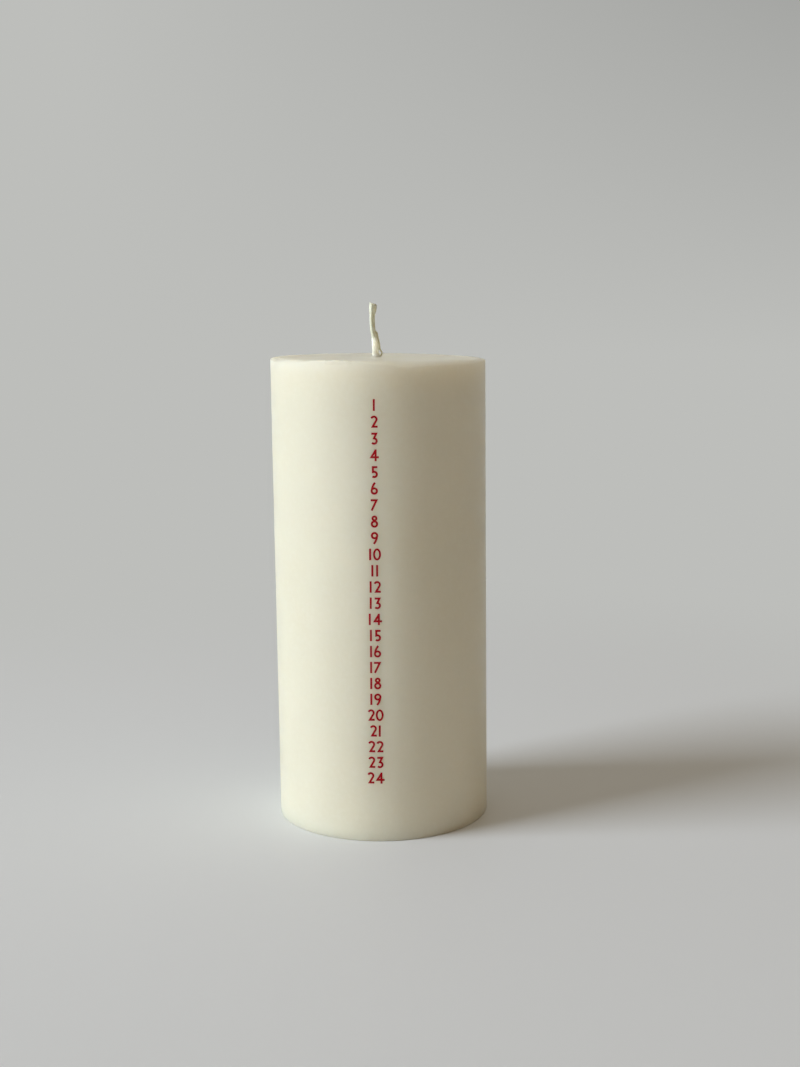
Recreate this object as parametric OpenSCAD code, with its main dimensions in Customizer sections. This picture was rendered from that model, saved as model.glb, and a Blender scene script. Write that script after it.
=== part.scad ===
// Calendar candle: an over-dipped pillar candle with a printed scale of numbers,
// one for each day on which it is burnt. Millimetres, +Z up, origin at the middle
// of the foot. The numbers face -Y, and number 1 is at the top, nearest the flame.

/* [Candle] */
// Diameter of the finished candle
candle_d = 70; // [50:1:100]
// Height of the finished candle, without its wick
candle_h = 152; // [135:1:220]
// Thickness of the hard wax dipped over the side of the core
skin_t = 1.6; // [0.8:0.1:4]
// Thickness of the hard wax over the top of the core
cap_t = 1.4; // [0.8:0.1:4]
// Radius of the rounded edge round the top
rim_r = 0.9; // [0.3:0.1:2]
// Radius of the small edge round the foot
foot_r = 0.4; // [0.1:0.1:0.7]

/* [Wick] */
// Diameter of the braided cotton wick
wick_d = 1.9; // [1.2:0.1:4]
// How far the wick stands to the right of the candle's axis
wick_x = -0.6; // [-3:0.1:3]
// Height of the wick above the candle's top
wick_free = 17.5; // [10:0.5:30]
// Sideways pull of the bend in the free end, to the left
bend_left = 1.9; // [0:0.1:4]
// Sideways pull of the bend in the free end, to the back
bend_back = 0.6; // [0:0.1:3]
// How far the tip of the wick stands to the left of its foot
tip_left = 0.6; // [0:0.1:3]
// Diameter of the trimmed tip, where the braid opens a little
tip_d = 2.6; // [1.2:0.1:5]
// Slant of the trimmed tip, in degrees
tip_slant = 15; // [0:1:35]

/* [Wax on the wick] */
// Thickness of the wax that dipping leaves on the wick's foot
coat_t = 0.16; // [0.1:0.01:1]
// Height up to which the wick is coated and straight
coat_h = 5.6; // [3:0.1:9]
// Radius of the hollow where the wax climbs the wick
climb_r = 0.8; // [0.4:0.1:2.5]

/* [Wick tab] */
// Diameter of the tinplate disc that holds the wick's lower end
tab_d = 20; // [16:0.5:30]
// Thickness of the tinplate
tin_t = 0.3; // [0.15:0.05:0.8]
// Height of the neck that is crimped round the wick
neck_h = 6; // [3:0.5:12]
// Distance that the disc is pressed up into the foot
tab_recess = 0.3; // [0.1:0.05:1.5]
// Middle diameter of the raised ring that stiffens the disc
bead_d = 12; // [9:0.5:14]
// Width of the raised ring
bead_w = 2; // [1:0.1:2.5]
// Height of the raised ring
bead_h = 0.5; // [0.2:0.1:1]

/* [Numbers] */
// How many numbers the scale has
days = 24; // [12:1:27]
// Distance from the candle's top down to the baseline of number 1
scale_top = 15.1; // [8:0.1:25]
// Distance from the foot up to the baseline of the last number
scale_foot = 19.2; // [5:0.1:30]
// Lean of the printed scale to the right at its top, in degrees
scale_lean = 0.5; // [-2:0.1:2]
// Height of the digits
digit_h = 3.6; // [2.5:0.1:4.2]
// Width of a round digit
digit_w = 2.25; // [1.8:0.05:2.8]
// Width of the digit 0
zero_w = 2.45; // [1.8:0.05:3]
// Width of the digit 4
four_w = 2.9; // [2:0.05:3.5]
// How far a round digit reaches past the lines of the straight ones
overshoot = 0.08; // [0:0.01:0.15]
// Width of the strokes that draw the digits
stroke = 0.62; // [0.3:0.02:0.64]
// Gap between the two digits of a number
digit_gap = 0.35; // [0.2:0.05:1]
// Air on both sides of a 1 in a row of digits
one_air = 0.25; // [0:0.05:0.6]
// Thickness of the printed film
ink_t = 0.08; // [0.04:0.01:0.3]

/* [Hidden] */
$fn = 96;
// Length by which a cut or a cutter runs past what it cuts
past = 1;
candle_r = candle_d / 2;
core_r = candle_r - skin_t;
core_h = candle_h - cap_t;
wick_r = wick_d / 2;
coat_r = wick_r + coat_t;
bend_z = candle_h + coat_h;
tip_z = candle_h + wick_free;
// Radius of the wick's free end, a hair under that of its coated foot, and how deep it starts in the foot
free_r = wick_r - 0.03;
sunk = 0.2;
tab_r = tab_d / 2;
tab_top = tab_recess + tin_t;
neck_r = wick_r + tin_t;
neck_top = tab_recess + neck_h;
bead_r = bead_d / 2;
scale_hi = candle_h - scale_top;
scale_mid = (scale_foot + scale_hi) / 2;
pitch = (scale_hi - scale_foot) / (days - 1);
// Half a stroke, half a digit and the middle radius of a full bowl
nib = stroke / 2;
half_w = digit_w / 2;
bowl_r = half_w - nib;
// Middles of a bowl that stands on the baseline and of one that hangs from the top
low_bowl = [0, half_w - overshoot];
high_bowl = [0, digit_h + overshoot - half_w];
// Middle of a stroke that runs along the top of a digit
cap_line = digit_h - nib;
arc_steps = 10;
wick_sides = 12;
wick_rings = 12;

CORE_COLOUR = [0.93, 0.90, 0.80];
SKIN_COLOUR = [0.95, 0.93, 0.84];
COAT_COLOUR = [0.90, 0.89, 0.82];
COTTON_COLOUR = [0.86, 0.84, 0.76];
TIN_COLOUR = [0.70, 0.71, 0.73];
INK_COLOUR = [0.45, 0.04, 0.08];

function number_name(n) = str("number_", n < 10 ? "0" : "", n);

// Points of an arc about c, from angle a to angle b
function arc(c, r, a, b) =
    [for (i = [0 : arc_steps]) let (t = a + (b - a) * i / arc_steps) c + r * [cos(t), sin(t)]];

function backwards(list) = [for (i = [len(list) - 1 : -1 : 0]) list[i]];

// Pen strokes: a path of even width with mitred corners

function leg(path, i) = let (d = path[i + 1] - path[i]) d / norm(d);
function to_left(d) = [-d[1], d[0]];

// The path moved sideways by w
function side(path, w) = [
    for (i = [0 : len(path) - 1])
        let (before = to_left(leg(path, max(i - 1, 0))))
        let (after = to_left(leg(path, min(i, len(path) - 2))))
        path[i] + w * (before + after) / (1 + before * after)
];

module pen(path) {
    polygon(concat(side(path, -nib), backwards(side(path, nib))));
}

// A round loop of the pen about c, with middle radius r
module loop(c, r) {
    translate(c) difference() {
        circle(r + nib);
        circle(r - nib);
    }
}

module oval(half_width, half_height) {
    sides = 4 * arc_steps;
    polygon([
        for (i = [0 : sides - 1])
            let (t = 360 * i / sides)
            [half_width * cos(t), half_height * sin(t)]
    ]);
}

// Digits, each centred on X = 0 and standing on Y = 0

module zero() {
    half_h = digit_h / 2 + overshoot;
    translate([0, digit_h / 2]) difference() {
        oval(zero_w / 2, half_h);
        oval(zero_w / 2 - stroke, half_h - stroke);
    }
}

module one() {
    pen([[0, 0], [0, digit_h]]);
}

module two() {
    leave = -30;
    hook = arc(high_bowl, bowl_r, 160, leave);
    end = hook[arc_steps];
    down = (end[1] - nib) / cos(leave);
    heel = end + down * [sin(leave), -cos(leave)];
    pen(concat(hook, [heel, [half_w, nib]]));
}

module three() {
    corner = [half_w - 1.5 * nib, cap_line];
    bowl = arc(low_bowl, bowl_r, 90, -140);
    pen(concat([[nib - half_w, cap_line], corner], bowl));
}

module four() {
    stem_x = 0.16 * four_w;
    bar_y = digit_h / 3;
    corner = [2 * nib - four_w / 2, bar_y];
    pen([[stem_x, 0], [stem_x, digit_h]]);
    pen([[stem_x, cap_line], corner, [four_w / 2, bar_y]]);
}

module five() {
    bowl = arc(low_bowl, bowl_r, 118, -130);
    corner = [bowl[0][0], cap_line];
    pen(concat([[half_w - nib / 2, cap_line], corner], bowl));
}

// Angle at which an arc about [x, 0] meets the circle of radius r about the origin
function meeting(x, arc_r, r) = acos(((r ^ 2 - arc_r ^ 2 - x ^ 2) / (2 * x)) / arc_r);

module six() {
    // The stem is an arc that comes down a hair inside the bowl's left edge
    inside = bowl_r - nib / 4;
    tip_x = half_w / 5;
    rise = digit_h - low_bowl[1];
    stem_r = ((inside + tip_x) ^ 2 + rise ^ 2) / (2 * (inside + tip_x));
    stem_x = stem_r - inside;
    outer_meeting = meeting(stem_x, stem_r + nib, bowl_r + nib);
    inner_meeting = meeting(stem_x, stem_r - nib, bowl_r - nib);
    stop = (outer_meeting + inner_meeting) / 2;
    loop(low_bowl, bowl_r);
    pen(arc(low_bowl + [stem_x, 0], stem_r, atan2(rise, tip_x - stem_x), stop));
}

module seven() {
    corner = [half_w - 1.5 * nib, cap_line];
    pen([[-half_w, cap_line], corner, [-0.75 * half_w, nib / 3]]);
}

module eight() {
    upper_r = bowl_r - 0.75 * nib;
    loop(low_bowl, bowl_r);
    loop([0, cap_line + overshoot - upper_r], upper_r);
}

module nine() {
    translate([0, digit_h]) rotate(180) six();
}

module digit(d) {
    if (d == 0) zero();
    if (d == 1) one();
    if (d == 2) two();
    if (d == 3) three();
    if (d == 4) four();
    if (d == 5) five();
    if (d == 6) six();
    if (d == 7) seven();
    if (d == 8) eight();
    if (d == 9) nine();
}

// Room that a digit takes in its row: a 1 keeps a little air on both sides
function room(d) = d == 0 ? zero_w : d == 1 ? stroke + 2 * one_air : d == 4 ? four_w : digit_w;

// A whole number, centred on X = 0
module number_outline(n) {
    tens = floor(n / 10);
    units = n % 10;
    shift = tens > 0 ? (room(tens) + digit_gap) / 2 : 0;
    half_row = tens > 0 ? (room(tens) + digit_gap + room(units)) / 2 : 0;
    if (tens > 0) translate([room(tens) / 2 - half_row, 0]) digit(tens);
    translate([shift, 0]) digit(units);
}

// The printed film of one number, lying on the side of the candle
module number(n) {
    below_top = (n - 1) * pitch;
    color(INK_COLOUR) intersection() {
        difference() {
            cylinder(h = candle_h, r = candle_r + ink_t);
            translate([0, 0, -past]) cylinder(h = candle_h + 2 * past, r = candle_r);
        }
        rotate([90, 0, 0]) linear_extrude(candle_r + past)
            translate([0, scale_mid]) rotate(-scale_lean)
                translate([0, scale_hi - below_top - scale_mid]) number_outline(n);
    }
}

// Cast core, with the bore for the wick and the seat of the wick tab
module wax_core() {
    seat = concat(
        [[0, -past], [tab_r, -past]],
        tab_upper_side(),
        [[neck_r, neck_top], [wick_r, neck_top], [wick_r, candle_h], [0, candle_h]]
    );
    color(CORE_COLOUR) difference() {
        cylinder(h = core_h, r = core_r);
        translate([wick_x, 0, 0]) rotate_extrude() polygon(seat);
    }
}

// Hard wax that dipping leaves over the side and the top of the core
module overdip_skin() {
    profile = concat(
        [[core_r, 0]],
        arc([candle_r - foot_r, foot_r], foot_r, -90, 0),
        arc([candle_r - rim_r, candle_h - rim_r], rim_r, 0, 90),
        [[0, candle_h], [0, core_h], [core_r, core_h]]
    );
    color(SKIN_COLOUR) difference() {
        rotate_extrude() polygon(profile);
        translate([wick_x, 0, core_h - past]) cylinder(h = cap_t + 2 * past, r = wick_r);
    }
}

// Wax sleeve on the wick's foot, which spreads where it meets the top
module wick_wax() {
    profile = concat(
        [[wick_r, candle_h], [coat_r + climb_r * (1 + cos(250)), candle_h]],
        arc([coat_r + climb_r, candle_h + climb_r], climb_r, 250, 180),
        arc([wick_r, bend_z - coat_t], coat_t, 0, 90)
    );
    color(COAT_COLOUR) translate([wick_x, 0, 0]) rotate_extrude() polygon(profile);
}

// Free end of the wick: rings swept along a curve with four control points

free_end = [
    [wick_x, 0, bend_z - sunk],
    [wick_x, 0, bend_z + 0.14 * (tip_z - bend_z)],
    [wick_x - bend_left, bend_back, bend_z + 0.35 * (tip_z - bend_z)],
    [wick_x - tip_left, 0, tip_z - tip_d / 2 * tan(tip_slant)]
];
function on_curve(p, t) =
    (1 - t) ^ 3 * p[0] + 3 * (1 - t) ^ 2 * t * p[1] + 3 * (1 - t) * t ^ 2 * p[2] + t ^ 3 * p[3];
function along_curve(p, t) =
    3 * (1 - t) ^ 2 * (p[1] - p[0]) + 6 * (1 - t) * t * (p[2] - p[1]) + 3 * t ^ 2 * (p[3] - p[2]);
function ease(t) = let (s = min(max(t, 0), 1)) s * s * (3 - 2 * s);
function wick_radius(t) = free_r + (tip_d / 2 - free_r) * ease((t - 0.6) / 0.4);

// One ring of the sweep, slanted where it is the trimmed tip
function wick_ring(t) =
    let (up = along_curve(free_end, t) / norm(along_curve(free_end, t)))
    let (across = cross([0, 1, 0], up) / norm(cross([0, 1, 0], up)))
    let (deep = cross(up, across))
    let (slant = t == 1 ? tan(tip_slant) : 0)
    [
        for (i = [0 : wick_sides - 1])
            let (a = 360 * i / wick_sides)
            let (r = wick_radius(t))
            on_curve(free_end, t) + r * (cos(a) * across + sin(a) * deep - slant * cos(a) * up)
    ];

module wick() {
    n = wick_sides;
    rings = [for (k = [0 : wick_rings]) wick_ring(k / wick_rings)];
    points = [for (ring = rings) for (p = ring) p];
    last = wick_rings * n;
    walls = [
        for (k = [0 : wick_rings - 1])
            for (i = [0 : n - 1])
                let (a = k * n + i)
                let (b = k * n + (i + 1) % n)
                for (face = [[a, a + n, b + n], [a, b + n, b]]) face
    ];
    foot = [for (i = [1 : n - 2]) [0, i, i + 1]];
    tip = [for (i = [1 : n - 2]) [last, last + i + 1, last + i]];
    color(COTTON_COLOUR) {
        translate([wick_x, 0, tab_recess]) cylinder(h = bend_z - tab_recess, r = wick_r);
        polyhedron(points, concat(foot, walls, tip));
    }
}

// Upper side of the tab's disc, from its edge to its neck
function tab_upper_side() = tab_sheet(tab_top);
function tab_sheet(z) = [
    [tab_r, z],
    [bead_r + bead_w / 2, z],
    [bead_r + bead_w / 4, z + bead_h],
    [bead_r - bead_w / 4, z + bead_h],
    [bead_r - bead_w / 2, z],
    [neck_r, z]
];

// Pressed tinplate disc with a neck round the wick's lower end
module wick_tab() {
    profile = concat(
        [[wick_r, tab_recess]],
        backwards(tab_sheet(tab_recess)),
        tab_upper_side(),
        [[neck_r, neck_top], [wick_r, neck_top]]
    );
    color(TIN_COLOUR) translate([wick_x, 0, 0]) rotate_extrude() polygon(profile);
}

wax_core();
overdip_skin();
wick_wax();
wick();
wick_tab();
for (n = [1 : days]) number(n);
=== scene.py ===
"""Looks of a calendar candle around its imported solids.

Metres, +Z up. The foot stands on Z = 0, the numbers face -Y and the candle's axis is the Z axis.
"""

import math

import bpy
from mathutils import Matrix, Vector, noise


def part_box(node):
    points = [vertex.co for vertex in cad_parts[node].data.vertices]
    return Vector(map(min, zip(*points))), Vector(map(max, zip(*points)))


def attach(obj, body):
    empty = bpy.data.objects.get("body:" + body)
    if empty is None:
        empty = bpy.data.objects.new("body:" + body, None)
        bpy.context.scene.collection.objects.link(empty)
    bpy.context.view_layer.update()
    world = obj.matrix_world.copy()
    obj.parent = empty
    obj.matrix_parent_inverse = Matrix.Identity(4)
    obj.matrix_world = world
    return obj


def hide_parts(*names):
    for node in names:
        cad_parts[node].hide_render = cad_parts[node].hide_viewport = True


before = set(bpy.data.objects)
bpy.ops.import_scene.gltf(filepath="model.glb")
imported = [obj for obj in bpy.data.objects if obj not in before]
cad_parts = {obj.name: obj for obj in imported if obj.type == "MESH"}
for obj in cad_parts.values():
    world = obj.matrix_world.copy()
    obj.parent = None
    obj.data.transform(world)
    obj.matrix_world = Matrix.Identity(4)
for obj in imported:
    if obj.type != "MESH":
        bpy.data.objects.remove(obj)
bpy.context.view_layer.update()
MM = 0.001

# Sizes read from the frame
core_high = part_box("wax_core")[1]
skin_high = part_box("overdip_skin")[1]
tab_low, tab_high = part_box("wick_tab")
coat_low, coat_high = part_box("wick_wax")
CORE_R = core_high.x
CORE_H = core_high.z
CANDLE_R = skin_high.x
CANDLE_H = skin_high.z
WICK_X = (tab_low.x + tab_high.x) / 2
WICK_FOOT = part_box("wick")[0].z
COAT_FOOT_R = (coat_high.x - coat_low.x) / 2
COAT_TOP = coat_high.z
NUMBERS = sorted(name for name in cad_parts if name.startswith("number_"))
INK_HALF_ANGLE = max(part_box(name)[1].x for name in NUMBERS) / CANDLE_R

# The candle's outer surface: sizes, then points round it and up each part of it
WICK_HOLE_R = 0.95 * MM
FOOT_R = 0.4 * MM
AROUND = 192
SIDE_ROWS = 110
TOP_ROWS = 44
INNER_ROWS = 12
ARC_ROWS = 10

# Waves of the side: depth and length, how far height counts, how much finer the fine ones are and
# their share. The side is true within CALM_WITHIN half widths of the numbers, and the waves grow
# over CALM_EDGE more.
SIDE_WAVE = 0.12 * MM
SIDE_WAVE_SIZE = 38 * MM
SIDE_WAVE_SQUASH = 0.6
FINE_WAVES = 4
FINE_SHARE = 0.25
CALM_WITHIN = 2
CALM_EDGE = 3

# The top: slope to the right, bow to both sides, dome, waves, and the way over which the waves grow
TOP_TILT = 0.0165
TOP_BOW = 0.3 * MM
TOP_DOME = 0.05 * MM
TOP_WAVE = 0.12 * MM
TOP_WAVE_SIZE = 9 * MM
TOP_CALM = 6 * MM

# The rim: degrees from the front to the right, then how far it rounds off inward and down in mm. That
# varies by RIM_UNEVEN, with more lumps round the rim for a larger RIM_LUMPS.
RIM_SHAPE = [
    (-180, 2.0, 1.0), (-130, 2.0, 0.8), (-90, 2.4, 0.45), (-68, 3.0, 1.4), (-40, 1.8, 1.2),
    (-29, 0.6, 0.6), (-8, 0.6, 0.6), (5, 3.5, 1.2), (18, 8.5, 1.8), (45, 6.0, 1.6),
    (70, 4.0, 1.1), (90, 2.5, 0.6), (130, 2.0, 1.0), (180, 2.0, 1.0),
]
RIM_UNEVEN = 0.15
RIM_LUMPS = 2.2

# Beads of wax on the rim that catch the light: angle from the front in degrees, height and width
RIM_BEADS = [(-18.8, 0.36 * MM, 0.95 * MM), (-13.3, 0.36 * MM, 0.95 * MM)]
BEAD_SPAN = (-26, -8)
BEAD_COLUMNS = 6

# The rim is glossier at the beads: how much less rough, how far in and down, and its ends along X
BEAD_GLOSS = 0.2
GLOSS_REACH = 0.7 * MM
GLOSS_LEFT = (-15 * MM, -13 * MM)
GLOSS_RIGHT = (-5 * MM, -7 * MM)

# Rings that the shrinking wax leaves round the wick
RING_DEPTH = 0.16 * MM
RING_PITCH = 3.2 * MM
RING_REACH = 7 * MM

# Middle line of the wick in mm: height above the candle's top, then sideways and back
WICK_LINE = [
    (-2, -0.60, 0.00), (0, -0.68, 0.00), (2.2, -0.74, 0.02), (3.8, -0.78, 0.04),
    (4.8, -0.86, 0.08), (5.8, -0.95, 0.13), (7.2, -1.24, 0.22), (8.6, -1.50, 0.30),
    (10.4, -1.65, 0.32), (12.4, -1.67, 0.26), (14.3, -1.56, 0.16), (15.9, -1.38, 0.10),
    (17.05, -1.26, 0.05),
]
# The braid: half width, how square it is and how far it is turned, then its yarns and their seams
WICK_HALF = 0.79 * MM
WICK_SQUARE = 4
WICK_TURN = math.radians(22)
BRAID_PITCH = 0.95 * MM
BRAID_DEPTH = 0.075 * MM
YARN_SLANT = 0.7
YARN_ROUND = 0.6
SEAM_SHARE = 0.8
SEAM_WIDTH = 0.16
WICK_AROUND = 64
WICK_ROWS = 170
CAP_ROWS = 12

# Trimmed tip: a low dome that opens a little, with one yarn that stands up at its left. It opens
# TIP_HASTE times as fast as the cut sets in.
TIP_LENGTH = 4.2 * MM
TIP_SPREAD = 1.42
TIP_HASTE = 1.5
TIP_SLANT = math.radians(4)
TIP_DOME = 0.34 * MM
TIP_DOME_POWER = 4
TIP_LUMPS = 0.14 * MM
TIP_LUMP_SIZE = 0.5 * MM
TIP_LUMP_PLACE = Vector((3.1, 0.7, 5.2))
YARN_AWAY = 1.12 * MM
YARN_WIDE = 0.27 * MM
YARN_UP = 0.7 * MM

# Middle line of a stray yarn on the wick's right side in mm: sideways, back, above the candle's top,
# radius. It has two plies.
STRAY_YARN = [
    (-0.46, 0.30, 8.3, 0.12), (-0.22, 0.32, 7.6, 0.27), (-0.09, 0.34, 6.7, 0.36),
    (0.11, 0.36, 5.7, 0.38), (0.29, 0.38, 4.8, 0.39), (0.44, 0.38, 3.8, 0.40),
    (0.50, 0.38, 3.0, 0.40), (0.64, 0.36, 2.35, 0.36), (1.00, 0.34, 1.85, 0.28),
    (1.28, 0.32, 1.4, 0.26), (1.30, 0.30, 0.95, 0.25), (1.10, 0.28, 0.55, 0.25),
    (0.85, 0.26, 0.3, 0.25), (0.68, 0.24, 0.0, 0.22),
]
STRAY_AROUND = 14
STRAY_STEPS = 6
STRAY_TWIST = 0.9 * MM
PLY_DEPTH = 0.1

# Wax on the wick's foot: thickness, how far it may lie inside the wick's hole, then its thin and
# ragged upper edge, lumps and creases. COAT_EDGE, CREASE_FROM and CREASE_OVER are shares of its
# height. It starts COAT_SUNK below the top, flares out below CLIMB, and closes at COAT_INSIDE of the
# wick's half width.
COAT_T = 0.12 * MM
COAT_BARE = 0.05 * MM
COAT_EDGE = 0.15
COAT_RAGGED = 0.8 * MM
COAT_TEETH = 0.5
COAT_LUMPS = 0.08 * MM
COAT_CREASE = 0.2 * MM
CREASE_WIDTH = 0.10
CREASE_FROM = 0.35
CREASE_OVER = 0.4
COAT_TWIST = 1.6
COAT_AROUND = 96
COAT_ROWS = 72
COAT_SUNK = 0.3 * MM
COAT_INSIDE = 0.72
CLIMB = 1.2 * MM
CLIMB_POWER = 2.2

# Wax colours, and how far light spreads in the over-dip
WAX = (0.885, 0.855, 0.665)
WAX_CLOUD = (0.900, 0.872, 0.686)
WAX_CRYSTAL = (0.92, 0.90, 0.73)
# Painted glow: a paler tone near the top and on the top face that stands in for light passing through
# the rim
WAX_PAINTED_GLOW = (0.92, 0.91, 0.77)
WAX_SPECK = (0.82, 0.78, 0.62)
WAX_SPREAD = 12 * MM
WAX_SPREAD_RGB = (1.0, 0.85, 0.65)
WAX_IOR = 1.44
CORE_SHADE, CORE_LIGHT = (0.83, 0.79, 0.63), (0.87, 0.84, 0.69)
CORE_GRAIN, CORE_PORE = (0.91, 0.89, 0.78), (0.66, 0.61, 0.45)
THIN_WAX, THIN_WAX_CLOUD = (0.92, 0.93, 0.78), (0.96, 0.97, 0.85)

# Colours of the other materials
INK_DEEP, INK_LIGHT, INK_HOLE = (0.38, 0.003, 0.008), (0.47, 0.005, 0.012), (0.62, 0.26, 0.20)
COTTON_SHADE, COTTON_LIGHT, COTTON_STAIN = (0.81, 0.85, 0.66), (0.92, 0.94, 0.79), (0.71, 0.75, 0.50)
TIN_SHADE, TIN_LIGHT, TIN_SMEAR = (0.52, 0.52, 0.53), (0.68, 0.68, 0.68), (0.82, 0.80, 0.68)

# Most of a noise's values lie between these
NOISE_LOW, NOISE_HIGH = 0.3, 0.7

# Camera: the photograph's own view, as it was fitted to the photo
EYE = Vector((27.509, -490.853, 170.289)) * MM
LOOK = Vector((-0.042175, 0.987156, -0.154090))
RIGHT = Vector((0.999096, 0.040862, -0.011685))
UP = Vector((0.005239, 0.154443, 0.987988))
PHOTO_H = 1067
FOCAL_PX = 1501.07
SENSOR = 36

# Studio
BACKDROP = (0.510, 0.515, 0.497)
# Painted shade: the backdrop darkens to the upper right by this share, while the view's X and Z run
# through these
BACKDROP_PAINTED_SHADE = 0.28
BACKDROP_ACROSS = (-0.24, 0.20)
BACKDROP_UP = (-0.037, 0.20)
FLOOR_COLOUR = (0.792, 0.822, 0.843)
FLOOR_ROUGH = 0.6
FLOOR_GRAIN = 0.6 * MM
FLOOR_GRAIN_DEPTH = 0.01 * MM
FLOOR_R = 4.0
# The floor fades into the backdrop between these distances from the candle's axis
FADE_NEAR = 0.11
FADE_FAR = 0.42
# Soft lobes of the sky: way, cosine at which the lobe ends, colour at its middle
SKY_LOBES = [
    ((0, 0, 1), 0.5, (0.44, 0.40, 0.32)),
    ((0, 1, 0), 0.0, (0.33, 0.30, 0.26)),
    ((0.6, -0.8, 0), 0.0, (0.15, 0.06, 0.0)),
]
# The window: angle from the front to the right and upwards in degrees, and distance
WINDOW_COLOUR = (0.89, 0.935, 1.0)
WINDOW_POWER = 145
WINDOW_SIZE = (1.8, 2.5)
WINDOW_TURN = -70.5
WINDOW_RISE = 28.5
WINDOW_AWAY = 4.0


def smooth_step(t):
    t = min(max(t, 0.0), 1.0)
    return t * t * (3 - 2 * t)


def ring_noise(turn, lumps, place):
    """Noise that closes round a ring: more lumps for a larger number, others at another place."""
    return noise.noise(Vector((lumps * math.cos(turn), lumps * math.sin(turn), place)))


def spline(points, steps):
    """Points of a Catmull-Rom curve through points, with steps pieces between neighbours."""
    ends = [points[0] * 2 - points[1], *points, points[-1] * 2 - points[-2]]
    line = []
    for a, b, c, d in zip(ends, ends[1:], ends[2:], ends[3:]):
        for i in range(steps):
            t = i / steps
            line.append(0.5 * (2 * b + (c - a) * t + (2 * a - 5 * b + 4 * c - d) * t ** 2
                               + (3 * b - a - 3 * c + d) * t ** 3))
    return line + [points[-1]]


def grid_faces(rings, around, loop=False):
    """Quads between neighbouring rings of around points each."""
    faces = []
    for k in range(rings if loop else rings - 1):
        a, b = k * around, (k + 1) % rings * around
        for i in range(around):
            j = (i + 1) % around
            faces.append((a + i, a + j, b + j, b + i))
    return faces


def new_piece(name, points, faces, material, node):
    """A smooth mesh that rides on the body and stands for one CAD node."""
    mesh = bpy.data.meshes.new(name)
    mesh.from_pydata([tuple(p) for p in points], [], faces)
    mesh.shade_smooth()
    mesh.materials.append(material)
    piece = bpy.data.objects.new(name, mesh)
    bpy.context.collection.objects.link(piece)
    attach(piece, "root")
    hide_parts(node)
    return piece


# Shader helpers


class Shader:
    """A material's node tree with short ways to add and join nodes."""

    def __init__(self, name):
        self.material = bpy.data.materials.new(name)
        self.material.use_nodes = True
        self.tree = self.material.node_tree
        self.bsdf = self.tree.nodes["Principled BSDF"]
        self.place = self.add("ShaderNodeTexCoord").outputs["Object"]

    def add(self, kind, **values):
        node = self.tree.nodes.new(kind)
        for key, value in values.items():
            setattr(node, key, value)
        return node

    def put(self, socket, value):
        """Sets a socket to a constant, or links an output to it."""
        if isinstance(value, bpy.types.NodeSocket):
            self.tree.links.new(value, socket)
        else:
            socket.default_value = value

    def math(self, operation, a, b):
        node = self.add("ShaderNodeMath", operation=operation)
        self.put(node.inputs[0], a)
        self.put(node.inputs[1], b)
        return node.outputs[0]

    def noise(self, size, detail=3.0, rough=0.5, stretch=(1, 1, 1), seed=0.0):
        """Noise with features of about size metres, stretched along the axes. Another seed moves it."""
        mapping = self.add("ShaderNodeMapping")
        self.put(mapping.inputs["Vector"], self.place)
        self.put(mapping.inputs["Scale"], tuple(1 / s for s in stretch))
        self.put(mapping.inputs["Location"], (seed, seed, seed))
        node = self.add("ShaderNodeTexNoise")
        self.put(node.inputs["Vector"], mapping.outputs[0])
        self.put(node.inputs["Scale"], 1 / size)
        self.put(node.inputs["Detail"], detail)
        self.put(node.inputs["Roughness"], rough)
        return node.outputs["Fac"]

    def spread(self, value, low=NOISE_LOW, high=NOISE_HIGH, to_low=0.0, to_high=1.0):
        """value from low to high becomes to_low to to_high, smoothly and clamped."""
        node = self.add("ShaderNodeMapRange", interpolation_type="SMOOTHSTEP")
        for key, number in zip(("Value", "From Min", "From Max", "To Min", "To Max"),
                               (value, low, high, to_low, to_high)):
            self.put(node.inputs[key], number)
        return node.outputs["Result"]

    def mix(self, factor, a, b):
        """Mixes two colours. The node's inputs 6 and 7 and its output 2 are the ones for colours."""
        node = self.add("ShaderNodeMix", data_type="RGBA")
        self.put(node.inputs[0], factor)
        for socket, colour in ((node.inputs[6], a), (node.inputs[7], b)):
            self.put(socket, colour if isinstance(colour, bpy.types.NodeSocket) else (*colour, 1))
        return node.outputs[2]

    def xyz(self):
        """The place's X, Y and Z, each an output."""
        node = self.add("ShaderNodeSeparateXYZ")
        self.put(node.inputs[0], self.place)
        return node.outputs

    def distance(self, operation, by):
        """Length of the place after one vector operation on it."""
        moved = self.add("ShaderNodeVectorMath", operation=operation)
        self.put(moved.inputs[0], self.place)
        self.put(moved.inputs[1], by)
        node = self.add("ShaderNodeVectorMath", operation="LENGTH")
        self.put(node.inputs[0], moved.outputs[0])
        return node.outputs["Value"]

    def bump(self, height, depth):
        """Bump of height 0 to 1 for relief of depth metres."""
        node = self.add("ShaderNodeBump")
        self.put(node.inputs["Height"], height)
        self.put(node.inputs["Distance"], depth)
        self.put(node.inputs["Strength"], 1.0)
        self.put(self.bsdf.inputs["Normal"], node.outputs[0])

    def finish(self, colour, roughness, **sockets):
        self.put(self.bsdf.inputs["Base Color"], colour)
        self.put(self.bsdf.inputs["Roughness"], roughness)
        for key, value in sockets.items():
            self.put(self.bsdf.inputs[key.replace("_", " ")], value)
        return self.material

    def soften(self, scale, radius):
        """Light that spreads below the surface, as it does in wax."""
        self.bsdf.subsurface_method = "BURLEY"
        self.put(self.bsdf.inputs["Subsurface Weight"], 1.0)
        self.put(self.bsdf.inputs["Subsurface Radius"], radius)
        self.put(self.bsdf.inputs["Subsurface Scale"], scale)


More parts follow.
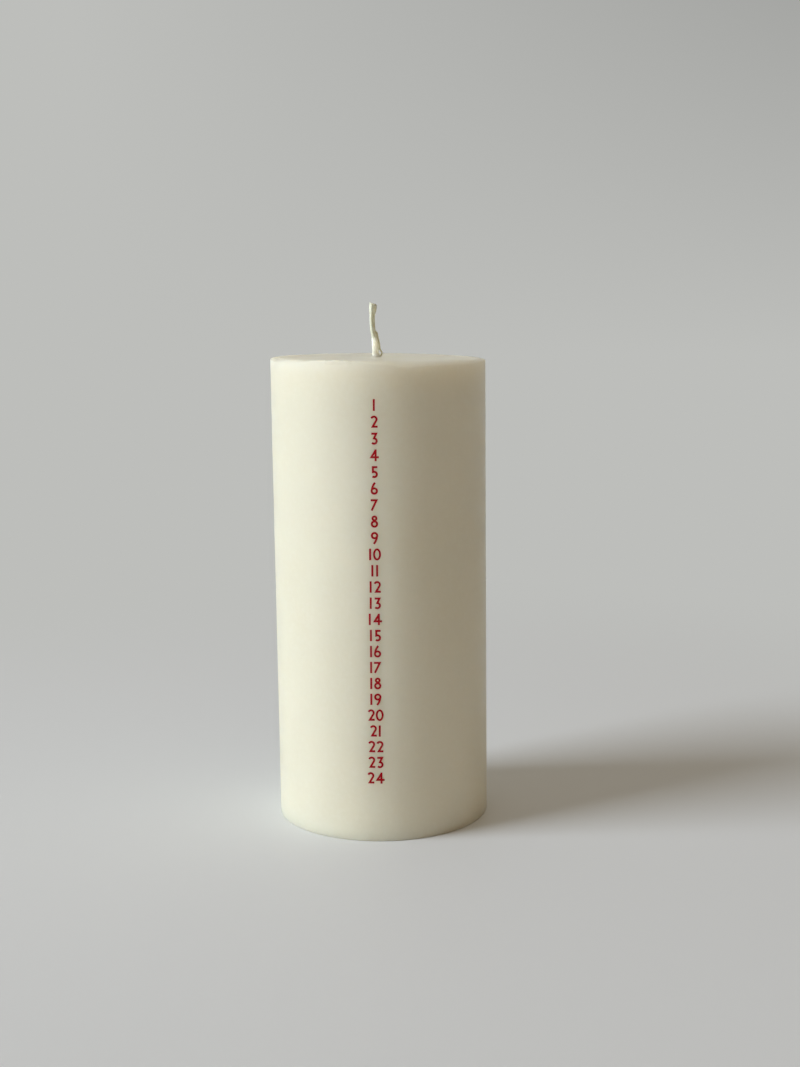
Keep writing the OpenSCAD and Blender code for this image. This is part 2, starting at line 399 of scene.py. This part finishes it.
def hard_wax():
    """Satin over-dip: ivory with faint clouds, fine crystals and a painted glow of light through the
    rim.
    """
    s = Shader("hard_wax")
    x, _, z = s.xyz()
    clouds = s.noise(30 * MM, 2, stretch=(1, 1, 1.8))
    crystals = s.noise(1.6 * MM, 4, 0.6)
    specks = s.spread(s.noise(0.7 * MM, 2), 0.68, 0.78)
    # painted glow near the top, standing in for light that passes through the rim
    painted_glow = s.spread(z, CANDLE_H - 5 * MM, CANDLE_H - 1 * MM)
    tone = s.mix(s.spread(clouds, 0.35, 0.65), WAX, WAX_CLOUD)
    tone = s.mix(s.math("MULTIPLY", s.spread(crystals, 0.4, 0.7), 0.35), tone, WAX_CRYSTAL)
    tone = s.mix(s.math("MULTIPLY", painted_glow, 0.5), tone, WAX_PAINTED_GLOW)
    tone = s.mix(s.math("MULTIPLY", specks, 0.25), tone, WAX_SPECK)
    swells = s.math("MULTIPLY", s.noise(5 * MM, 2), 0.9)
    s.bump(s.math("ADD", s.math("MULTIPLY", crystals, 0.6), swells), 0.03 * MM)
    s.soften(WAX_SPREAD, WAX_SPREAD_RGB)
    out = s.distance("MULTIPLY", (1, 1, 0))
    outer = s.spread(out, CANDLE_R - 1.5 * GLOSS_REACH, CANDLE_R - GLOSS_REACH)
    upper = s.spread(z, CANDLE_H - 2 * GLOSS_REACH, CANDLE_H - GLOSS_REACH)
    beads = s.math("MULTIPLY", s.spread(x, *GLOSS_LEFT), s.spread(x, *GLOSS_RIGHT))
    near = s.math("MULTIPLY", s.math("MULTIPLY", outer, upper), beads)
    satin = s.spread(s.noise(9 * MM, 3), to_low=0.30, to_high=0.42)
    return s.finish(tone, s.math("SUBTRACT", satin, s.math("MULTIPLY", near, BEAD_GLOSS)), IOR=WAX_IOR)


def core_wax():
    """Cast wax of the core: duller and coarser, with crystal grains and pores."""
    s = Shader("core_wax")
    cells = s.add("ShaderNodeTexVoronoi")
    s.put(cells.inputs["Vector"], s.place)
    s.put(cells.inputs["Scale"], 1 / (1.9 * MM))
    grains = cells.outputs["Distance"]
    clouds = s.noise(12 * MM, 4)
    pores = s.spread(s.noise(0.9 * MM, 2), 0.66, 0.74)
    tone = s.mix(s.spread(clouds, 0.35, 0.65), CORE_SHADE, CORE_LIGHT)
    tone = s.mix(s.math("MULTIPLY", grains, 0.3), tone, CORE_GRAIN)
    tone = s.mix(s.math("MULTIPLY", pores, 0.6), tone, CORE_PORE)
    s.bump(s.math("SUBTRACT", s.math("MULTIPLY", grains, 0.5), pores), 0.08 * MM)
    s.soften(2.0 * MM, (1.0, 0.8, 0.5))
    return s.finish(tone, s.spread(clouds, to_low=0.45, to_high=0.62), IOR=WAX_IOR)


def red_ink():
    """Printed film: deep red with uneven cover and a few pinholes."""
    s = Shader("red_ink")
    cover = s.noise(0.5 * MM, 3)
    holes = s.spread(s.noise(0.16 * MM, 1), 0.74, 0.78)
    tone = s.mix(s.spread(cover), INK_DEEP, INK_LIGHT)
    tone = s.mix(s.math("MULTIPLY", holes, 0.3), tone, INK_HOLE)
    s.bump(cover, 0.006 * MM)
    return s.finish(tone, s.spread(cover, to_low=0.42, to_high=0.58), Specular_IOR_Level=0.12)


def waxed_cotton():
    """Bleached cotton that has drunk wax: fine fibres along the wick."""
    s = Shader("waxed_cotton")
    fibres = s.noise(0.09 * MM, 3, stretch=(1, 1, 5))
    stain = s.spread(s.noise(1.8 * MM, 2), 0.45, 0.7)
    tone = s.mix(s.spread(fibres), COTTON_SHADE, COTTON_LIGHT)
    tone = s.mix(s.math("MULTIPLY", stain, 0.3), tone, COTTON_STAIN)
    s.bump(fibres, 0.025 * MM)
    s.soften(0.25 * MM, (1.0, 0.85, 0.6))
    return s.finish(tone, s.spread(fibres, to_low=0.4, to_high=0.65))


def thin_wax():
    """Thin wax on the wick: whiter than the candle, with a wet gloss."""
    s = Shader("thin_wax")
    cloud = s.noise(0.8 * MM, 3)
    tone = s.mix(s.spread(cloud, 0.35, 0.65), THIN_WAX, THIN_WAX_CLOUD)
    s.bump(s.noise(0.35 * MM, 3), 0.03 * MM)
    s.soften(4 * MM, (1.0, 0.97, 0.85))
    return s.finish(tone, s.spread(cloud, to_low=0.22, to_high=0.36), IOR=WAX_IOR)


def tinplate():
    """Pressed tinplate: brushed in rings, with scratches, dull spots and a smear of wax."""
    s = Shader("tinplate")
    rings = s.add("ShaderNodeTexNoise", noise_dimensions="1D")
    s.put(rings.inputs["W"], s.distance("SUBTRACT", (WICK_X, 0, 0)))
    s.put(rings.inputs["Scale"], 1 / (0.12 * MM))
    spots = s.noise(2.5 * MM, 4)
    scratches = s.noise(0.15 * MM, 2, stretch=(1, 30, 1))
    smear = s.spread(s.noise(4 * MM, 3, seed=3.0), 0.60, 0.68)
    tone = s.mix(s.spread(spots), TIN_SHADE, TIN_LIGHT)
    tone = s.mix(s.math("MULTIPLY", smear, 0.7), tone, TIN_SMEAR)
    relief = s.math("ADD", rings.outputs["Fac"], s.math("MULTIPLY", scratches, 0.5))
    s.bump(relief, 0.012 * MM)
    metal = s.math("SUBTRACT", 1.0, s.math("MULTIPLY", smear, 0.85))
    return s.finish(tone, s.spread(spots, to_low=0.26, to_high=0.46), Metallic=metal)


# The candle's outer surface


def from_front(angle):
    """The angle turned so that it is 0 at the numbers, from -pi to pi."""
    return math.atan2(math.sin(angle + math.pi / 2), math.cos(angle + math.pi / 2))


def rim_size(angle):
    """How far the rim rounds off inward and down: crisp left of the numbers, slack to their right."""
    degrees = math.degrees(from_front(angle))
    for (start, *near), (end, *far) in zip(RIM_SHAPE, RIM_SHAPE[1:]):
        if degrees <= end:
            break
    share = smooth_step((degrees - start) / (end - start))
    uneven = 1 + RIM_UNEVEN * ring_noise(angle, RIM_LUMPS, 7.0)
    return [(a + (b - a) * share) * uneven * MM for a, b in zip(near, far)]


def rim_bead(angle):
    """Height of the beads that stand on the rim at an angle."""
    height = 0
    for degrees, up, width in RIM_BEADS:
        away = (from_front(angle) - math.radians(degrees)) * CANDLE_R / width
        height += up * math.exp(-away * away)
    return height


def side_dip(angle, z):
    """How far the side lies inside the true cylinder: nothing at the numbers, a little elsewhere."""
    aside = abs(from_front(angle)) - CALM_WITHIN * INK_HALF_ANGLE
    calm = smooth_step(aside / (CALM_EDGE * INK_HALF_ANGLE))
    x, y = CANDLE_R * math.cos(angle), CANDLE_R * math.sin(angle)
    p = Vector((x, y, SIDE_WAVE_SQUASH * z)) / SIDE_WAVE_SIZE
    slow = 0.5 + 0.5 * noise.noise(p)
    fine = 0.5 + 0.5 * noise.noise(p * FINE_WAVES + Vector((5, 1, 2)))
    return SIDE_WAVE * calm * ((1 - FINE_SHARE) * slow + FINE_SHARE * fine)


def top_dip(x, y):
    """How far the top lies below its level at the wick: a bowed, tilted dome with waves and rings."""
    from_wick = math.hypot(x - WICK_X, y)
    rise = smooth_step((from_wick - COAT_FOOT_R) / TOP_CALM)
    dome = TOP_DOME * (1 - (x * x + y * y) / CANDLE_R ** 2)
    wave = 0.5 + 0.5 * noise.noise(Vector((x, y, 0)) / TOP_WAVE_SIZE)
    rings = 0.5 + 0.5 * math.sin(2 * math.pi * from_wick / RING_PITCH)
    rings *= math.exp(-from_wick / RING_REACH)
    lean = TOP_TILT * (x - WICK_X) + TOP_BOW * (x / CANDLE_R) ** 2
    return rise * (TOP_WAVE * wave + RING_DEPTH * rings) - dome + lean


def skin_column(angle):
    """Profile of the skin at one angle, from the inner foot round the outside and back inside."""
    across, down = rim_size(angle)
    c, s = math.cos(angle), math.sin(angle)
    side_top = CANDLE_H - down - top_dip(CANDLE_R * c, CANDLE_R * s)
    column = [(CORE_R, 0.0)]
    for i in range(ARC_ROWS + 1):
        t = math.pi / 2 * i / ARC_ROWS
        r = CANDLE_R - FOOT_R + FOOT_R * math.sin(t) - side_dip(angle, 0) * i / ARC_ROWS
        column.append((r, FOOT_R - FOOT_R * math.cos(t)))
    for i in range(1, SIDE_ROWS):
        z = FOOT_R + (side_top - FOOT_R) * i / SIDE_ROWS
        column.append((CANDLE_R - side_dip(angle, z), z))
    edge_dip = side_dip(angle, CANDLE_H)
    bead = rim_bead(angle)
    for i in range(ARC_ROWS + 1):
        t = math.pi / 2 * i / ARC_ROWS
        proud = bead * math.sin(2 * t)
        r = CANDLE_R - across + (across + proud) * math.cos(t) - edge_dip
        z = CANDLE_H - down + (down + proud) * math.sin(t) - top_dip(r * c, r * s)
        column.append((r, z))
    points = [Vector((r * c, r * s, z)) for r, z in column]
    start = CANDLE_R - across - edge_dip
    for i in range(1, TOP_ROWS + 1):
        t = i / TOP_ROWS
        r = start + (WICK_HOLE_R - start) * t
        x, y = WICK_X * t + r * c, r * s
        points.append(Vector((x, y, CANDLE_H - top_dip(x, y))))
    for i in range(INNER_ROWS + 1):
        t = i / INNER_ROWS
        r = WICK_HOLE_R + (CORE_R - WICK_HOLE_R) * t
        points.append(Vector((WICK_X * (1 - t) + r * c, r * s, CORE_H)))
    for i in range(1, INNER_ROWS):
        points.append(Vector((CORE_R * c, CORE_R * s, CORE_H * (1 - i / INNER_ROWS))))
    return points


def column_angles():
    """Angles of the skin's columns, closer together where the rim carries beads."""
    angles = []
    for i in range(AROUND):
        start = 2 * math.pi * i / AROUND
        fine = BEAD_COLUMNS if BEAD_SPAN[0] < math.degrees(from_front(start)) < BEAD_SPAN[1] else 1
        angles += [start + 2 * math.pi * k / (AROUND * fine) for k in range(fine)]
    return angles


def make_skin(material):
    columns = [skin_column(angle) for angle in column_angles()]
    rings, around = len(columns[0]), len(columns)
    points = [column[k] for k in range(rings) for column in columns]
    faces = grid_faces(rings, around, loop=True)
    return new_piece("dipped_skin", points, faces, material, "overdip_skin")


# The wick


def wick_line():
    """Points and directions along the wick's middle, from its foot to its tip."""
    chosen = [Vector((x, y, CANDLE_H / MM + z)) * MM for z, x, y in WICK_LINE]
    free = spline(chosen, WICK_ROWS // (len(chosen) - 1))
    buried = [Vector((WICK_X, 0, WICK_FOOT)), Vector((WICK_X, 0, CANDLE_H / 2))]
    line = buried + free
    ways = [(b - a).normalized() for a, b in zip([line[0]] + line[:-2], line[1:])]
    return line, ways + [ways[-1]]


def wick_radius(turn, along, left):
    """Half width of the braid at an angle: a rounded square with slanting yarns on each face."""
    phi = turn - WICK_TURN
    c, s = abs(math.cos(phi)), abs(math.sin(phi))
    square = WICK_HALF / (c ** WICK_SQUARE + s ** WICK_SQUARE) ** (1 / WICK_SQUARE)
    across = min(c, s) / max(c, s)
    yarn = abs(math.sin(math.pi * (along / BRAID_PITCH + YARN_SLANT * across)))
    seam = BRAID_DEPTH * SEAM_SHARE * math.exp(-(across / SEAM_WIDTH) ** 2)
    groove = BRAID_DEPTH * (1 - yarn ** YARN_ROUND) + seam
    spread = 1 + (TIP_SPREAD - 1) * smooth_step(TIP_HASTE * (1 - left / TIP_LENGTH))
    return square * spread - groove


def tip_height(x, y, reach):
    """Height of the trimmed tip beside the wick's middle. The braid is reach wide there."""
    yarn = YARN_UP * math.exp(-((x + YARN_AWAY) ** 2 + y * y) / YARN_WIDE ** 2)
    lumps = TIP_LUMPS * noise.noise(Vector((x, y, 0)) / TIP_LUMP_SIZE + TIP_LUMP_PLACE)
    dome = TIP_DOME * (math.hypot(x, y) / reach) ** TIP_DOME_POWER
    return yarn + lumps - dome - math.tan(TIP_SLANT) * x


def tube(path, radii, around, twist):
    """Points and faces of a closed tube of two twisted plies along path."""
    points = []
    along = 0.0
    for k, (p, r) in enumerate(zip(path, radii)):
        ahead, behind = path[min(k + 1, len(path) - 1)], path[max(k - 1, 0)]
        along += (p - behind).length
        way = (ahead - behind).normalized()
        across = Vector((0, 1, 0)).cross(way).normalized()
        deep = way.cross(across)
        for i in range(around):
            turn = 2 * math.pi * i / around
            round_ply = math.cos(2 * (turn - 2 * math.pi * along / twist))
            ply = r * (1 - PLY_DEPTH + PLY_DEPTH * round_ply)
            points.append(p + ply * (math.cos(turn) * across + math.sin(turn) * deep))
    faces = grid_faces(len(path), around)
    faces.append(tuple(reversed(range(around))))
    faces.append(tuple(range(len(points) - around, len(points))))
    return points, faces


def stray_yarn():
    spots = [Vector((x, y, CANDLE_H / MM + z)) * MM for x, y, z, _ in STRAY_YARN]
    sizes = [Vector((r * MM, 0, 0)) for *_, r in STRAY_YARN]
    path = spline(spots, STRAY_STEPS)
    radii = [size.x for size in spline(sizes, STRAY_STEPS)]
    return tube(path, radii, STRAY_AROUND, STRAY_TWIST)


def make_wick(material):
    line, ways = wick_line()
    lengths = [0.0]
    for a, b in zip(line, line[1:]):
        lengths.append(lengths[-1] + (b - a).length)
    points = []
    for k, (p, way) in enumerate(zip(line, ways)):
        across = Vector((0, 1, 0)).cross(way).normalized()
        deep = way.cross(across)
        left = lengths[-1] - lengths[k]
        cut = smooth_step(1 - left / TIP_LENGTH)
        for i in range(WICK_AROUND):
            turn = 2 * math.pi * i / WICK_AROUND
            r = WICK_HOLE_R if k < 2 else wick_radius(turn, lengths[k], left)
            x, y = r * math.cos(turn), r * math.sin(turn)
            points.append(p + x * across + y * deep + cut * tip_height(x, y, r) * way)
    for k in range(1, CAP_ROWS):
        for i in range(WICK_AROUND):
            turn = 2 * math.pi * i / WICK_AROUND
            reach = wick_radius(turn, lengths[-1], 0)
            r = reach * (1 - k / CAP_ROWS)
            x, y = r * math.cos(turn), r * math.sin(turn)
            points.append(p + x * across + y * deep + tip_height(x, y, reach) * way)
    faces = grid_faces(len(points) // WICK_AROUND, WICK_AROUND)
    last = len(points) - WICK_AROUND
    points.append(p + tip_height(0, 0, WICK_HALF) * way)
    faces += [(last + i, last + (i + 1) % WICK_AROUND, len(points) - 1) for i in range(WICK_AROUND)]
    points.append(line[0])
    faces += [((i + 1) % WICK_AROUND, i, len(points) - 1) for i in range(WICK_AROUND)]
    yarn_points, yarn_faces = stray_yarn()
    faces += [tuple(len(points) + i for i in face) for face in yarn_faces]
    return new_piece("braided_wick", points + yarn_points, faces, material, "wick")


# Wax on the wick


def coat_surface(turn, v, line, ways):
    """A point of the coat's outside: v runs from the foot at 0 to the ragged edge at 1."""
    ragged = COAT_RAGGED * (ring_noise(turn, 1.7, 2.5) + COAT_TEETH * ring_noise(turn, 5, 6.1))
    up = v * (COAT_TOP - CANDLE_H + COAT_SUNK + ragged) - COAT_SUNK
    k = min(range(len(line)), key=lambda j: abs(line[j].z - CANDLE_H - up))
    across = Vector((0, 1, 0)).cross(ways[k]).normalized()
    deep = ways[k].cross(across)
    lump = ring_noise(turn, 2.4, 4 * v)
    fold = ring_noise(turn + COAT_TWIST * v, 1.9, 5 * v + 3.3)
    crease = max(0.0, 1 - abs(fold) / CREASE_WIDTH) * smooth_step((v - CREASE_FROM) / CREASE_OVER)
    body = COAT_T * (1 - smooth_step((v - (1 - COAT_EDGE)) / COAT_EDGE))
    thick = body + COAT_LUMPS * lump - COAT_CREASE * crease
    spare = COAT_FOOT_R - WICK_HOLE_R - COAT_T
    flare = spare * min(max(0.0, 1 - up / CLIMB), 1.0) ** CLIMB_POWER
    middle = line[k].copy()
    middle.z = CANDLE_H + up
    out = math.cos(turn) * across + math.sin(turn) * deep
    return middle + (WICK_HOLE_R + max(thick, -COAT_BARE) + flare) * out, middle


def make_coat(material):
    """The coat's outside, then an inner ring at its ragged edge and one at its foot that close it."""
    line, ways = wick_line()
    rings = []
    for k in range(COAT_ROWS + 1):
        rings.append([coat_surface(2 * math.pi * i / COAT_AROUND, k / COAT_ROWS, line, ways)
                      for i in range(COAT_AROUND)])
    points = [p for ring in rings for p, _ in ring]
    for ring in (rings[-1], rings[0]):
        for p, middle in ring:
            points.append(middle + (p - middle).normalized() * (COAT_INSIDE * WICK_HALF))
    faces = grid_faces(len(points) // COAT_AROUND, COAT_AROUND, loop=True)
    return new_piece("wax_on_wick", points, faces, material, "wick_wax")


# Studio


def make_camera():
    data = bpy.data.cameras.new("camera")
    data.sensor_width = SENSOR
    data.lens = FOCAL_PX / PHOTO_H * SENSOR
    camera = bpy.data.objects.new("camera", data)
    turn = Matrix((RIGHT, UP, -LOOK)).transposed().to_4x4()
    camera.matrix_world = Matrix.Translation(EYE) @ turn
    bpy.context.collection.objects.link(camera)
    bpy.context.scene.camera = camera


def seen_by_eye(tree):
    """1 for camera, glossy and transmission rays, which see the backdrop's colour."""
    path = tree.nodes.new("ShaderNodeLightPath")
    total = path.outputs["Is Camera Ray"]
    for name in ("Is Glossy Ray", "Is Transmission Ray"):
        either = tree.nodes.new("ShaderNodeMath")
        either.operation = "MAXIMUM"
        tree.links.new(total, either.inputs[0])
        tree.links.new(path.outputs[name], either.inputs[1])
        total = either.outputs[0]
    return total


def make_floor():
    """A pale floor that shades and takes the shadow near the candle, and fades into the backdrop."""
    s = Shader("floor")
    s.finish((*FLOOR_COLOUR, 1), FLOOR_ROUGH)
    s.bump(s.noise(FLOOR_GRAIN), FLOOR_GRAIN_DEPTH)
    away = s.add("ShaderNodeVectorMath", operation="LENGTH")
    s.put(away.inputs[0], s.place)
    fade = s.spread(away.outputs["Value"], FADE_NEAR, FADE_FAR)
    glow = s.add("ShaderNodeEmission")
    s.put(glow.inputs["Color"], (*BACKDROP, 1))
    both = s.add("ShaderNodeMixShader")
    s.put(both.inputs[0], s.math("MULTIPLY", fade, seen_by_eye(s.tree)))
    s.put(both.inputs[1], s.bsdf.outputs[0])
    s.put(both.inputs[2], glow.outputs[0])
    output = s.tree.nodes["Material Output"]
    s.put(output.inputs["Surface"], both.outputs[0])
    corners = [(FLOOR_R * x, FLOOR_R * y, 0) for x, y in ((-1, -1), (1, -1), (1, 1), (-1, 1))]
    mesh = bpy.data.meshes.new("floor")
    mesh.from_pydata(corners, [], [(0, 1, 2, 3)])
    mesh.materials.append(s.material)
    floor = bpy.data.objects.new("floor", mesh)
    bpy.context.collection.objects.link(floor)


def backdrop_painted_shade(tree, place):
    """Painted shade for camera rays: 1 at the backdrop's left and low down, and less at its upper
    right.
    """
    parts = tree.nodes.new("ShaderNodeSeparateXYZ")
    tree.links.new(place, parts.inputs[0])
    fall = tree.nodes.new("ShaderNodeLightPath").outputs["Is Camera Ray"]
    for part, (start, end), share in (("X", BACKDROP_ACROSS, BACKDROP_PAINTED_SHADE), ("Z", BACKDROP_UP, 1.0)):
        beyond = tree.nodes.new("ShaderNodeMapRange")
        beyond.inputs["From Min"].default_value = start
        beyond.inputs["From Max"].default_value = end
        beyond.inputs["To Max"].default_value = share
        tree.links.new(parts.outputs[part], beyond.inputs["Value"])
        both = tree.nodes.new("ShaderNodeMath")
        both.operation = "MULTIPLY"
        tree.links.new(fall, both.inputs[0])
        tree.links.new(beyond.outputs["Result"], both.inputs[1])
        fall = both.outputs[0]
    rest = tree.nodes.new("ShaderNodeMath")
    rest.operation = "SUBTRACT"
    rest.use_clamp = True
    rest.inputs[0].default_value = 1.0
    tree.links.new(fall, rest.inputs[1])
    return rest.outputs[0]


def make_sky():
    """Soft light in broad lobes, and for the eye a plain backdrop with painted shade that darkens it to
    the upper right.
    """
    world = bpy.data.worlds.new("sky")
    bpy.context.scene.world = world
    world.use_nodes = True
    tree = world.node_tree
    place = tree.nodes.new("ShaderNodeTexCoord").outputs["Generated"]
    soft = tree.nodes["Background"]
    total = None
    for way, edge, colour in SKY_LOBES:
        facing = tree.nodes.new("ShaderNodeVectorMath")
        facing.operation = "DOT_PRODUCT"
        facing.inputs[1].default_value = way
        tree.links.new(place, facing.inputs[0])
        share = tree.nodes.new("ShaderNodeMapRange")
        share.inputs["From Min"].default_value = edge
        tree.links.new(facing.outputs["Value"], share.inputs["Value"])
        lobe = tree.nodes.new("ShaderNodeVectorMath")
        lobe.operation = "MULTIPLY_ADD"
        lobe.inputs[0].default_value = colour
        tree.links.new(share.outputs["Result"], lobe.inputs[1])
        lobe.inputs[2].default_value = (0, 0, 0)
        if total:
            tree.links.new(total, lobe.inputs[2])
        total = lobe.outputs["Vector"]
    tree.links.new(total, soft.inputs["Color"])
    shown = tree.nodes.new("ShaderNodeBackground")
    shown.inputs["Color"].default_value = (*BACKDROP, 1)
    # the backdrop's painted shade sets its strength for camera rays
    tree.links.new(backdrop_painted_shade(tree, place), shown.inputs["Strength"])
    both = tree.nodes.new("ShaderNodeMixShader")
    tree.links.new(seen_by_eye(tree), both.inputs[0])
    tree.links.new(soft.outputs[0], both.inputs[1])
    tree.links.new(shown.outputs[0], both.inputs[2])
    tree.links.new(both.outputs[0], tree.nodes["World Output"].inputs[0])


def make_window():
    """One broad soft light from the left, low and a little to the front."""
    data = bpy.data.lights.new("window", "AREA")
    data.shape = "RECTANGLE"
    data.size, data.size_y = WINDOW_SIZE
    data.energy = WINDOW_POWER
    data.color = WINDOW_COLOUR
    lamp = bpy.data.objects.new("window", data)
    turn, rise = math.radians(WINDOW_TURN), math.radians(WINDOW_RISE)
    way = Vector((math.sin(turn) * math.cos(rise), -math.cos(turn) * math.cos(rise), math.sin(rise)))
    lamp.location = way * WINDOW_AWAY + Vector((0, 0, CANDLE_H / 2))
    lamp.rotation_euler = way.to_track_quat("Z", "Y").to_euler()
    lamp.visible_camera = False
    bpy.context.collection.objects.link(lamp)


def set_view():
    bpy.context.scene.view_settings.view_transform = "Standard"


def repaint(node, material):
    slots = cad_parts[node].data.materials
    slots.clear()
    slots.append(material)


set_view()
make_camera()
make_skin(hard_wax())
make_wick(waxed_cotton())
make_coat(thin_wax())
repaint("wax_core", core_wax())
repaint("wick_tab", tinplate())
ink = red_ink()
for number in NUMBERS:
    repaint(number, ink)
make_floor()
make_sky()
make_window()
